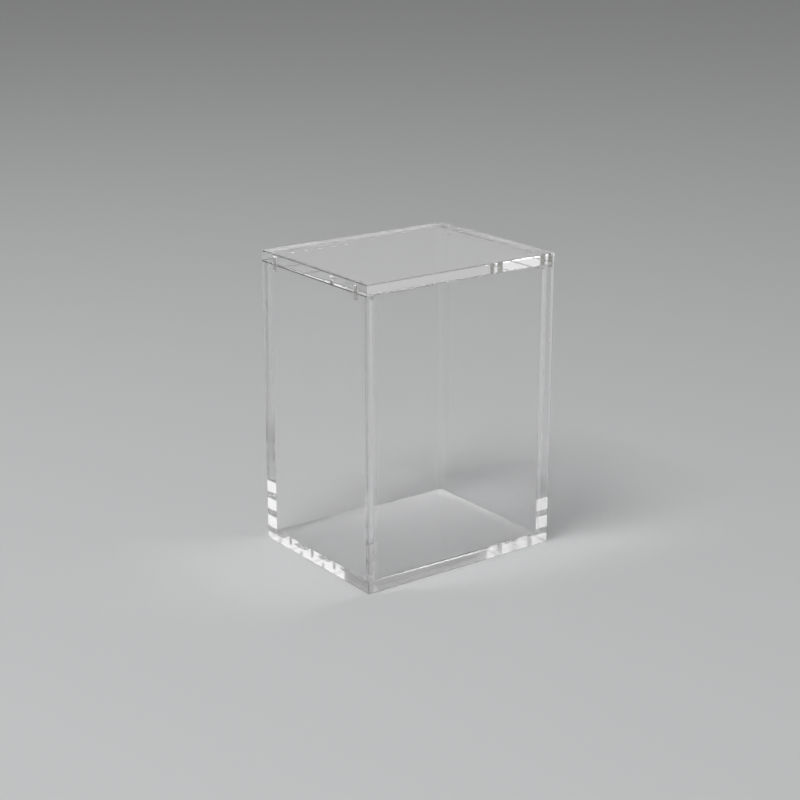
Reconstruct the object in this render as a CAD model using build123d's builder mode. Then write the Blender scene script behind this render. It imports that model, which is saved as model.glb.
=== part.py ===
"""Clear acrylic display case with a lift-off lid that small magnets hold in place.

Frame: origin at the middle of the footprint on the floor, +Z up, -Y the wide front, -X the left side.
All lengths are in millimetres.
"""

import os

from build123d import *

# Driving dimensions of the closed case
width = 130.0  # X, over the side panels
depth = 104.0  # Y, over the front and back panels
height = 176.0  # Z, from the floor to the top of the lid
sheet = 6.0  # thickness of every acrylic panel

# Joints and edges
weld = 0.005  # how deep a solvent weld fuses one panel into the next
lid_seam = 0.05  # air left under the resting lid
edge_break = 0.3  # chamfer on every exposed panel edge

# Round magnets, one in the lid above one in the wall at each corner
magnet_diameter = 4.0
magnet_height = 4.0
magnet_edge_break = 0.2
magnet_inset = 12.0  # from the front and back faces to a magnet's axis
magnet_hole_clearance = 0.05  # around and behind a magnet in its hole

# Ornament engraved in the top of the lid, beside its back left corner
ornament_depth = 0.2
ornament_pitch = 4.6
ornament_count = 9
ornament_start = 11.0  # from the left face to the first figure's middle
ornament_back = 16.0  # from the back face to the row's middle line
lozenge_width = 2.4
lozenge_length = 4.4
ring_radius = 1.5
ring_line = 0.5

# Worked out from the above
half_width = width / 2
half_depth = depth / 2
lid_bottom = height - sheet
wall_top = lid_bottom - lid_seam
inner_width = width - 2 * sheet
inner_depth = depth - 2 * sheet
magnet_x = half_width - sheet / 2
magnet_y = half_depth - magnet_inset
hole_radius = magnet_diameter / 2 + magnet_hole_clearance
hole_depth = magnet_height + magnet_hole_clearance

sides = {"left": -1, "right": 1}
ends = {"front": -1, "back": 1}
corners = [(end, side) for end in ends for side in sides]

pieces = []


def finish(part, label):
    """Name a finished piece and keep it for export."""
    part.label = label
    pieces.append(part)


# Base panel: it lies on the floor inside the four walls
with BuildPart() as base_panel:
    with BuildSketch():
        Rectangle(inner_width + 2 * weld, inner_depth + 2 * weld)
    extrude(amount=sheet)
finish(base_panel.part, "base_panel")

# Side panels: full depth, floor to lid, with blind magnet holes in their top edges
for side, sign in sides.items():
    with BuildPart() as side_panel:
        with BuildSketch(Plane.XY):
            with Locations((sign * magnet_x, 0)):
                Rectangle(sheet, depth)
        extrude(amount=wall_top)
        outer_face = side_panel.faces().sort_by(Axis.X)[-1 if sign > 0 else 0]
        inner_face = side_panel.faces().sort_by(Axis.X)[0 if sign > 0 else -1]
        welded = inner_face.edges() - inner_face.edges().sort_by(Axis.Z)[-1:]
        chamfer([edge for edge in side_panel.edges() if edge not in welded], edge_break)
        with BuildSketch(Plane.XY.offset(wall_top)):
            with Locations((sign * magnet_x, -magnet_y), (sign * magnet_x, magnet_y)):
                Circle(hole_radius)
        extrude(amount=-hole_depth, mode=Mode.SUBTRACT)
    finish(side_panel.part, f"{side}_panel")

# Front and back panels: they stand between the side panels
for end, sign in ends.items():
    with BuildPart() as end_panel:
        with BuildSketch(Plane.XY):
            with Locations((0, sign * (half_depth - sheet / 2))):
                Rectangle(inner_width + 2 * weld, sheet)
        extrude(amount=wall_top)
        long_edges = end_panel.edges().filter_by(Axis.X)
        top_edges = long_edges.group_by(Axis.Z)[-1]
        floor_edge = long_edges.group_by(Axis.Z)[0].sort_by(Axis.Y)[-1 if sign > 0 else 0]
        chamfer([*top_edges, floor_edge], edge_break)
    finish(end_panel.part, f"{end}_panel")

# Lid: a flush panel over the walls, with blind magnet holes below and the ornament on top
with BuildPart() as lid_panel:
    with BuildSketch(Plane.XY.offset(lid_bottom)):
        Rectangle(width, depth)
    extrude(amount=sheet)
    chamfer(lid_panel.edges(), edge_break)
    with BuildSketch(Plane.XY.offset(lid_bottom)):
        with GridLocations(2 * magnet_x, 2 * magnet_y, 2, 2):
            Circle(hole_radius)
    extrude(amount=hole_depth, mode=Mode.SUBTRACT)
    ornament_places = [
        (ornament_start - half_width + number * ornament_pitch, half_depth - ornament_back)
        for number in range(ornament_count)
    ]
    with BuildSketch(Plane.XY.offset(height)):
        with Locations(*ornament_places[0::2]):
            Polygon(
                (0, -lozenge_length / 2),
                (lozenge_width / 2, 0),
                (0, lozenge_length / 2),
                (-lozenge_width / 2, 0),
            )
        with Locations(*ornament_places[1::2]):
            Circle(ring_radius)
            Circle(ring_radius - ring_line, mode=Mode.SUBTRACT)
    extrude(amount=-ornament_depth, mode=Mode.SUBTRACT)
finish(lid_panel.part, "lid_panel")

# Magnets: each is pressed into its hole, flush with the mouth
for end, side in corners:
    magnet_axis = (sides[side] * magnet_x, ends[end] * magnet_y)
    with BuildPart() as wall_magnet:
        with BuildSketch(Plane.XY.offset(wall_top - magnet_height)):
            with Locations(magnet_axis):
                Circle(magnet_diameter / 2)
        extrude(amount=magnet_height)
        chamfer(wall_magnet.edges().filter_by(GeomType.CIRCLE), magnet_edge_break)
    finish(wall_magnet.part, f"wall_magnet_{end}_{side}")

    with BuildPart() as lid_magnet:
        with BuildSketch(Plane.XY.offset(lid_bottom)):
            with Locations(magnet_axis):
                Circle(magnet_diameter / 2)
        extrude(amount=magnet_height)
        chamfer(lid_magnet.edges().filter_by(GeomType.CIRCLE), magnet_edge_break)
    finish(lid_magnet.part, f"lid_magnet_{end}_{side}")

os.makedirs("parts", exist_ok=True)
for piece in pieces:
    export_step(piece, f"parts/{piece.label}.step")
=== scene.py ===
"""The looks of a clear acrylic display case with a magnetic lid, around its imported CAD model.

Metres, +Z up, the front faces -Y. The acrylic stays colourless: what shows is the light that its polished
edges carry, bend and mirror, so the sheets are real solids with real refraction.
"""

import math

import bmesh
import bpy
from mathutils import Matrix, Vector


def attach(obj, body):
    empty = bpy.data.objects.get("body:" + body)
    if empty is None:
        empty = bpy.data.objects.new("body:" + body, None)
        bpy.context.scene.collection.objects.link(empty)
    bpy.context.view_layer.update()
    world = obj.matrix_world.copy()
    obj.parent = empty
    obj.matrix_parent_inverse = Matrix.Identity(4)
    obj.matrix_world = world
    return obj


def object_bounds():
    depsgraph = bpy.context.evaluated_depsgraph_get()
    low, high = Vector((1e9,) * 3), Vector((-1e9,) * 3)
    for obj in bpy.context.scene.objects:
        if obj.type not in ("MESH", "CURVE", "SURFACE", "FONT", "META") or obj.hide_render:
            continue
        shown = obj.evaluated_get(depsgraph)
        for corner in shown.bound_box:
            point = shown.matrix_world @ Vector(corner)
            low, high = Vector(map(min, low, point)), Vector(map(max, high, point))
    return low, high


MM = 0.001

# Noise scales below are per metre, and a stretch draws the noise out along the axis with the small number

# Acrylic
ACRYLIC_IOR = 1.49
WAVE_SCALE = 170.0  # the slow waves in a cut edge
SAW_SCALE = 2600.0  # the fine lines there
SAW_STRETCH = (1.0, 1.0, 0.12)
SAW_SHARE = 0.08  # their height, as a share of the waves'
EDGE_RELIEF = 0.012 * MM
CUT_ROUGHNESS = 0.012
SCRAPED_ROUGHNESS = 0.25
HAIRLINE_SCALE = 5200.0
HAIRLINE_STRETCH = (1.0, 1.0, 0.02)
HAIRLINE_LEVELS = (0.80, 0.86)  # of the noise, from no hairline to a full one
HAIRLINE_ROUGHNESS = 0.06

# How squarely a surface faces an axis, from 0 to 1, where it turns into a cut edge, and where it stops being
# an edge break. A chamfer at 45 degrees has 0.71
CUT_FACING = (0.6, 0.9)
BREAK_FACING = (0.75, 0.90)

# The magnets' axes, to either side of the middle, and how far from them the zone of their holes ends
MAGNET_X = 62.0 * MM
MAGNET_Y = 40.0 * MM
HOLE_ZONE_END = (2.1 * MM, 2.3 * MM)

# Nickel plate
NICKEL_COLOUR = (0.70, 0.69, 0.66, 1.0)
NICKEL_ROUGHNESS = (0.12, 0.34)
TURNED_SCALE = 4000.0
TURNED_STRETCH = (1.0, 1.0, 0.2)
TURNED_RELIEF = 0.01 * MM
SCUFF_SCALE = 700.0
SCUFF_LEVELS = (0.6, 1.5)  # of both noises together, from the smoothest to the roughest

# Etched acrylic
FROST_SHADES = (0.78, 0.95)
FROST_ROUGHNESS = 0.7
FROST_RELIEF = 0.02 * MM
PIT_SCALE = 9000.0
BURNT_LINE_SCALE = 7000.0
BURNT_LINE_STRETCH = (0.04, 1.0, 1.0)
PIT_LEVELS = (0.6, 1.4)  # of both noises together, from the darkest to the lightest

# The ornament: its row, as in the CAD, and the white floors, a little smaller than the cuts they lie in
ROW_START = 11.0 * MM  # from the left face
ROW_BACK = 16.0 * MM  # from the back face
ROW_PITCH = 4.6 * MM
ROW_COUNT = 9
LOZENGE_HALF_WIDTH = 1.14 * MM
LOZENGE_HALF_LENGTH = 2.1 * MM
RING_OUTER = 1.46 * MM
RING_INNER = 1.04 * MM
FROST_TOP = 0.13 * MM  # below the top of the lid
FROST_BOTTOM = 0.19 * MM
RING_STEPS = 48

# Studio
FLOOR_SIZE = 30.0
FLOOR_DROP = 0.1 * MM
FLOOR_COLOUR = (0.58, 0.585, 0.59, 1.0)
FLOOR_ROUGHNESS = 0.6
FADE_START = 0.25  # of a lamp panel's half size; from here to the border its light fades out
SKY_HORIZON = 0.20  # brightness at the horizon
SKY_ZENITH = 0.24
SKY_BANDS = ((0.26, 0.55), (0.46, 0.22))  # sine of the elevation, and the brightness there

# Camera
CAMERA_BEARING = -36.22  # degrees
CAMERA_ELEVATION = 17.75
CAMERA_DISTANCE = 5.797  # in case heights, like the shifts, and from the middle of the case
CAMERA_RIGHT = -0.0241
CAMERA_UP = -0.0031
SENSOR_WIDTH = 36.0  # millimetres, as Blender's cameras take them
FOCAL_LENGTH = 78.8

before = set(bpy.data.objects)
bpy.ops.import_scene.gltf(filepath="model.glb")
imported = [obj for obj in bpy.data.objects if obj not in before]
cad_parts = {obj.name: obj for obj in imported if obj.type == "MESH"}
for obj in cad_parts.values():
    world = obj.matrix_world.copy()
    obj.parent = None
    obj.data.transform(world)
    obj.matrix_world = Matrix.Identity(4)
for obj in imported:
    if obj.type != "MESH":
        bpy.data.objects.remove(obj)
cad_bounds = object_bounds()
low, high = cad_bounds
centre = (low + high) / 2
height = high.z - low.z
scene = bpy.context.scene


# ---------------------------------------------------------------- node helpers
class Tree:
    """A material's node tree with short calls for the nodes used here."""

    def __init__(self, name):
        self.material = bpy.data.materials.new(name)
        self.material.use_nodes = True
        self.nodes = self.material.node_tree.nodes
        self.links = self.material.node_tree.links
        self.surface = self.nodes["Principled BSDF"]
        self.output = self.nodes["Material Output"]

    def add(self, kind, **inputs):
        """A new node with the given inputs. _0 stands for input number 0, and _ for a space in a name."""
        node = self.nodes.new(kind)
        for key, value in inputs.items():
            self.feed(node.inputs[int(key[1:]) if key[0] == "_" else key.replace("_", " ")], value)
        return node

    def feed(self, socket, value):
        """Link an output socket to an input, or set any other value on the input."""
        if isinstance(value, bpy.types.NodeSocket):
            self.links.new(value, socket)
        else:
            socket.default_value = value

    def math(self, operation, a, b=0.0):
        node = self.add("ShaderNodeMath", _0=a, _1=b)
        node.operation = operation
        return node.outputs[0]

    def scaled(self, vector, scale):
        node = self.add("ShaderNodeVectorMath", _0=vector, _1=scale)
        node.operation = "MULTIPLY"
        return node.outputs[0]

    def noise(self, vector, scale, detail=2.0):
        node = self.add("ShaderNodeTexNoise", Vector=vector, Scale=scale, Detail=detail, Roughness=0.5)
        return node.outputs["Fac"]

    def ramp(self, value, start, end, low_value=0.0, high_value=1.0):
        """value's stretch from start to end, mapped smoothly to the two given values."""
        node = self.add("ShaderNodeMapRange", Value=value, From_Min=start, From_Max=end)
        self.feed(node.inputs["To Min"], low_value)
        self.feed(node.inputs["To Max"], high_value)
        node.interpolation_type = "SMOOTHSTEP"
        return node.outputs[0]

    def axis(self, vector, name):
        return self.add("ShaderNodeSeparateXYZ", Vector=vector).outputs[name]

    def facing(self, normal, axes):
        """How squarely a surface faces along one of the axes, from 0 to 1. With no axes it is 0."""
        most = 0.0
        for axis in axes:
            most = self.math("MAXIMUM", most, self.math("ABSOLUTE", self.axis(normal, axis)))
        return most


# ---------------------------------------------------------------- acrylic
def acrylic(name, cut_axes):
    """Clear cast sheet. Its open cut edges face along cut_axes, and its welded edges are optically gone."""
    tree = Tree(name)
    place = tree.add("ShaderNodeTexCoord").outputs["Object"]
    normal = tree.add("ShaderNodeNewGeometry").outputs["True Normal"]
    cut_edge = tree.ramp(tree.facing(normal, cut_axes), *CUT_FACING)

    # Cut edges keep a slow waviness from flame polishing and a trace of the saw's fine lines
    waviness = tree.noise(place, WAVE_SCALE, detail=1.0)
    saw_lines = tree.noise(tree.scaled(place, SAW_STRETCH), SAW_SCALE, detail=0.0)
    relief = tree.math("ADD", waviness, tree.math("MULTIPLY", saw_lines, SAW_SHARE))
    relief = tree.math("MULTIPLY", relief, cut_edge)
    bump = tree.add("ShaderNodeBump", Strength=1.0, Distance=EDGE_RELIEF, Height=relief)
    tree.feed(tree.surface.inputs["Normal"], bump.outputs[0])

    # Faces are glossy, with hairlines from wiping that only show close up
    hairlines = tree.noise(tree.scaled(place, HAIRLINE_STRETCH), HAIRLINE_SCALE, detail=0.0)
    hairlines = tree.ramp(hairlines, *HAIRLINE_LEVELS, 0.0, HAIRLINE_ROUGHNESS)
    roughness = tree.math("ADD", hairlines, tree.math("MULTIPLY", cut_edge, CUT_ROUGHNESS))

    # Edge breaks are scraped and matt. The magnets' holes also slant to the axes, and stay clear
    slanted = tree.ramp(tree.facing(normal, "XYZ"), *BREAK_FACING, 1.0, 0.0)
    off_x = tree.math("SUBTRACT", tree.math("ABSOLUTE", tree.axis(place, "X")), MAGNET_X)
    off_y = tree.math("SUBTRACT", tree.math("ABSOLUTE", tree.axis(place, "Y")), MAGNET_Y)
    off_axis = tree.math("MAXIMUM", tree.math("ABSOLUTE", off_x), tree.math("ABSOLUTE", off_y))
    scraped = tree.math("MULTIPLY", slanted, tree.ramp(off_axis, *HOLE_ZONE_END))
    roughness = tree.math("MAXIMUM", roughness, tree.math("MULTIPLY", scraped, SCRAPED_ROUGHNESS))
    tree.feed(tree.surface.inputs["Roughness"], roughness)

    tree.surface.inputs["Base Color"].default_value = (1.0, 1.0, 1.0, 1.0)
    tree.surface.inputs["Transmission Weight"].default_value = 1.0
    tree.surface.inputs["IOR"].default_value = ACRYLIC_IOR
    return tree.material


# ---------------------------------------------------------------- magnets
def nickel(name):
    """Bright nickel plate with turned faces and small scuffs."""
    tree = Tree(name)
    place = tree.add("ShaderNodeTexCoord").outputs["Object"]
    turned = tree.noise(tree.scaled(place, TURNED_STRETCH), TURNED_SCALE, detail=2.0)
    scuffs = tree.noise(place, SCUFF_SCALE, detail=3.0)
    roughness = tree.ramp(tree.math("ADD", turned, scuffs), *SCUFF_LEVELS, *NICKEL_ROUGHNESS)
    tree.feed(tree.surface.inputs["Roughness"], roughness)
    bump = tree.add("ShaderNodeBump", Strength=0.6, Distance=TURNED_RELIEF, Height=turned)
    tree.feed(tree.surface.inputs["Normal"], bump.outputs[0])
    tree.surface.inputs["Base Color"].default_value = NICKEL_COLOUR
    tree.surface.inputs["Metallic"].default_value = 1.0
    return tree.material


def dress(node, material):
    """Put one material on every slot of a CAD node."""
    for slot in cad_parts[node].material_slots:
        slot.material = material


# The axes along which each panel's cut edges are open to the air
open_edges = {
    "base_panel": "",
    "lid_panel": "XY",
    "front_panel": "Z",
    "back_panel": "Z",
    "left_panel": "YZ",
    "right_panel": "YZ",
}
for panel, cut_axes in open_edges.items():
    dress(panel, acrylic(f"acrylic_{panel}", cut_axes))

magnet_plate = nickel("nickel_plate")
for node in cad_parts:
    if "magnet" in node:
        dress(node, magnet_plate)


# ---------------------------------------------------------------- engraving
def frosted():
    """Laser-etched acrylic: a white, matt surface of fine burnt lines."""
    tree = Tree("etched_frost")
    place = tree.add("ShaderNodeTexCoord").outputs["Object"]
    pits = tree.noise(place, PIT_SCALE, detail=2.0)
    lines = tree.noise(tree.scaled(place, BURNT_LINE_STRETCH), BURNT_LINE_SCALE, detail=0.0)
    pitting = tree.math("ADD", pits, lines)
    shade = tree.ramp(pitting, *PIT_LEVELS, *FROST_SHADES)
    white = tree.add("ShaderNodeCombineColor", _0=shade, _1=shade, _2=shade)
    tree.feed(tree.surface.inputs["Base Color"], white.outputs[0])
    bump = tree.add("ShaderNodeBump", Strength=0.8, Distance=FROST_RELIEF, Height=pitting)
    tree.feed(tree.surface.inputs["Normal"], bump.outputs[0])
    tree.surface.inputs["Roughness"].default_value = FROST_ROUGHNESS
    return tree.material


def prism(shape, outline, bottom, top, hole=None):
    """A flat solid between two heights. outline and hole are rings of points with as many points each."""
    rings = []
    for points in (outline, hole) if hole else (outline,):
        for level in (bottom, top):
            rings.append([shape.verts.new((x, y, level)) for x, y in points])
    count = len(outline)
    pairs = [(0, 1), (3, 2), (1, 3), (2, 0)] if hole else [(0, 1)]
    for lower, upper in pairs:
        for here in range(count):
            after = (here + 1) % count
            base, cap = rings[lower], rings[upper]
            shape.faces.new((base[here], base[after], cap[after], cap[here]))
    if not hole:
        shape.faces.new(rings[1])
        shape.faces.new(rings[0][::-1])


def engraving():
    """The white etched floors of the ornament in the lid: lozenges and rings by turns, as in the CAD."""
    row_y = high.y - ROW_BACK
    top = high.z - FROST_TOP
    bottom = high.z - FROST_BOTTOM
    turns = [math.radians(360.0 / RING_STEPS * step) for step in range(RING_STEPS)]
    shape = bmesh.new()
    for number in range(ROW_COUNT):
        x = low.x + ROW_START + number * ROW_PITCH
        if number % 2:
            rim = [(x + RING_OUTER * math.cos(turn), row_y + RING_OUTER * math.sin(turn)) for turn in turns]
            hole = [(x + RING_INNER * math.cos(turn), row_y + RING_INNER * math.sin(turn)) for turn in turns]
            prism(shape, rim, bottom, top, hole)
        else:
            lozenge = [
                (x, row_y - LOZENGE_HALF_LENGTH),
                (x + LOZENGE_HALF_WIDTH, row_y),
                (x, row_y + LOZENGE_HALF_LENGTH),
                (x - LOZENGE_HALF_WIDTH, row_y),
            ]
            prism(shape, lozenge, bottom, top)
    mesh = bpy.data.meshes.new("engraving_frost")
    shape.to_mesh(mesh)
    shape.free()
    mesh.materials.append(frosted())
    piece = bpy.data.objects.new("engraving_frost", mesh)
    scene.collection.objects.link(piece)
    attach(piece, "lid")


engraving()


# ---------------------------------------------------------------- floor and light
def floor(size, drop):
    """A plain pale floor. It lies a hair under the case, as the air film under a resting sheet does."""
    mesh = bpy.data.meshes.new("floor")
    half = size / 2
    corners = [(-half, -half, -drop), (half, -half, -drop), (half, half, -drop), (-half, half, -drop)]
    mesh.from_pydata(corners, [], [(0, 1, 2, 3)])
    plane = bpy.data.objects.new("floor", mesh)
    scene.collection.objects.link(plane)
    tree = Tree("floor_paint")
    tree.surface.inputs["Base Color"].default_value = FLOOR_COLOUR
    tree.surface.inputs["Roughness"].default_value = FLOOR_ROUGHNESS
    mesh.materials.append(tree.material)


def seen_from_case(bearing, elevation):
    """The direction from the case to a lamp or the camera. Bearing 0 is the front, and 90 is the right."""
    azimuth, rise = math.radians(bearing), math.radians(elevation)
    return Vector((math.sin(azimuth) * math.cos(rise), -math.cos(azimuth) * math.cos(rise), math.sin(rise)))


def softbox(name, bearing, elevation, distance, size, power):
    """A square soft light that shows in reflections but not to the camera itself."""
    light = bpy.data.lights.new(name, "AREA")
    light.size = size
    light.energy = power
    box = bpy.data.objects.new(name, light)
    scene.collection.objects.link(box)
    away = seen_from_case(bearing, elevation)
    box.location = centre + away * distance
    box.rotation_euler = away.to_track_quat("Z", "Y").to_euler()
    box.visible_camera = False


def panel_light(name, bearing, elevation, distance, size, strength):
    """A glowing panel that faces the case and fades towards its borders.

    It shows in reflections and refractions, but not to the camera itself, and casts no shadow.
    """
    away = seen_from_case(bearing, elevation)
    half_x, half_y = size[0] / 2, size[1] / 2
    mesh = bpy.data.meshes.new(name)
    corners = [(-half_x, -half_y, 0), (half_x, -half_y, 0), (half_x, half_y, 0), (-half_x, half_y, 0)]
    mesh.from_pydata(corners, [], [(0, 1, 2, 3)])
    panel = bpy.data.objects.new(name, mesh)
    scene.collection.objects.link(panel)
    panel.location = centre + away * distance
    panel.rotation_euler = (-away).to_track_quat("Z", "Y").to_euler()
    panel.visible_camera = False
    panel.visible_shadow = False

    tree = Tree(f"{name}_diffuser")
    place = tree.add("ShaderNodeTexCoord").outputs["Object"]
    off_x = tree.math("ABSOLUTE", tree.axis(place, "X"))
    off_y = tree.math("ABSOLUTE", tree.axis(place, "Y"))
    across = tree.ramp(off_x, half_x * FADE_START, half_x, 1.0, 0.0)
    along = tree.ramp(off_y, half_y * FADE_START, half_y, 1.0, 0.0)
    glow = tree.math("MULTIPLY", tree.math("MULTIPLY", across, along), strength)
    emission = tree.add("ShaderNodeEmission", Strength=glow)
    tree.links.new(emission.outputs[0], tree.output.inputs["Surface"])
    tree.material.cycles.emission_sampling = "FRONT"
    mesh.materials.append(tree.material)


def sky():
    """A dim studio with a brighter band low above the horizon."""
    world = bpy.data.worlds.new("studio")
    scene.world = world
    world.use_nodes = True
    nodes, links = world.node_tree.nodes, world.node_tree.links
    ramp = nodes.new("ShaderNodeValToRGB")
    ramp.color_ramp.interpolation = "EASE"
    stops = ramp.color_ramp.elements
    stops[0].color = (SKY_HORIZON, SKY_HORIZON, SKY_HORIZON, 1.0)
    stops[1].color = (SKY_ZENITH, SKY_ZENITH, SKY_ZENITH, 1.0)
    for position, level in SKY_BANDS:
        stop = stops.new(position)
        stop.color = (level, level, level, 1.0)
    split = nodes.new("ShaderNodeSeparateXYZ")
    links.new(nodes.new("ShaderNodeTexCoord").outputs["Generated"], split.inputs[0])
    links.new(split.outputs["Z"], ramp.inputs[0])
    links.new(ramp.outputs[0], nodes["Background"].inputs["Color"])
    nodes["Background"].inputs["Strength"].default_value = 1.0


floor(FLOOR_SIZE, FLOOR_DROP)
sky()
softbox("main", bearing=-75.0, elevation=60.0, distance=2.6, size=1.1, power=48.0)
panel_light("key", bearing=36.2, elevation=17.5, distance=0.85, size=(0.64, 0.48), strength=1.05)
panel_light("rim", bearing=216.2, elevation=17.5, distance=0.85, size=(0.64, 0.48), strength=0.8)


# ---------------------------------------------------------------- camera
def camera():
    """The photograph's viewpoint."""
    azimuth = math.radians(CAMERA_BEARING)
    back = seen_from_case(CAMERA_BEARING, CAMERA_ELEVATION)
    right = Vector((math.cos(azimuth), math.sin(azimuth), 0.0))
    up = back.cross(right)
    place = centre + (back * CAMERA_DISTANCE + right * CAMERA_RIGHT + up * CAMERA_UP) * height
    data = bpy.data.cameras.new("camera")
    data.sensor_width = SENSOR_WIDTH
    data.lens = FOCAL_LENGTH
    view = bpy.data.objects.new("camera", data)
    scene.collection.objects.link(view)
    view.matrix_world = Matrix(
        (
            (right.x, up.x, back.x, place.x),
            (right.y, up.y, back.y, place.y),
            (right.z, up.z, back.z, place.z),
            (0, 0, 0, 1),
        )
    )
    scene.camera = view


camera()

# Light crosses the sheets many times on its way along them, and reaches the floor through them unblurred
scene.cycles.blur_glossy = 0.0
scene.cycles.max_bounces = 40
scene.cycles.transmission_bounces = 40
scene.cycles.glossy_bounces = 24
scene.view_settings.view_transform = "Standard"
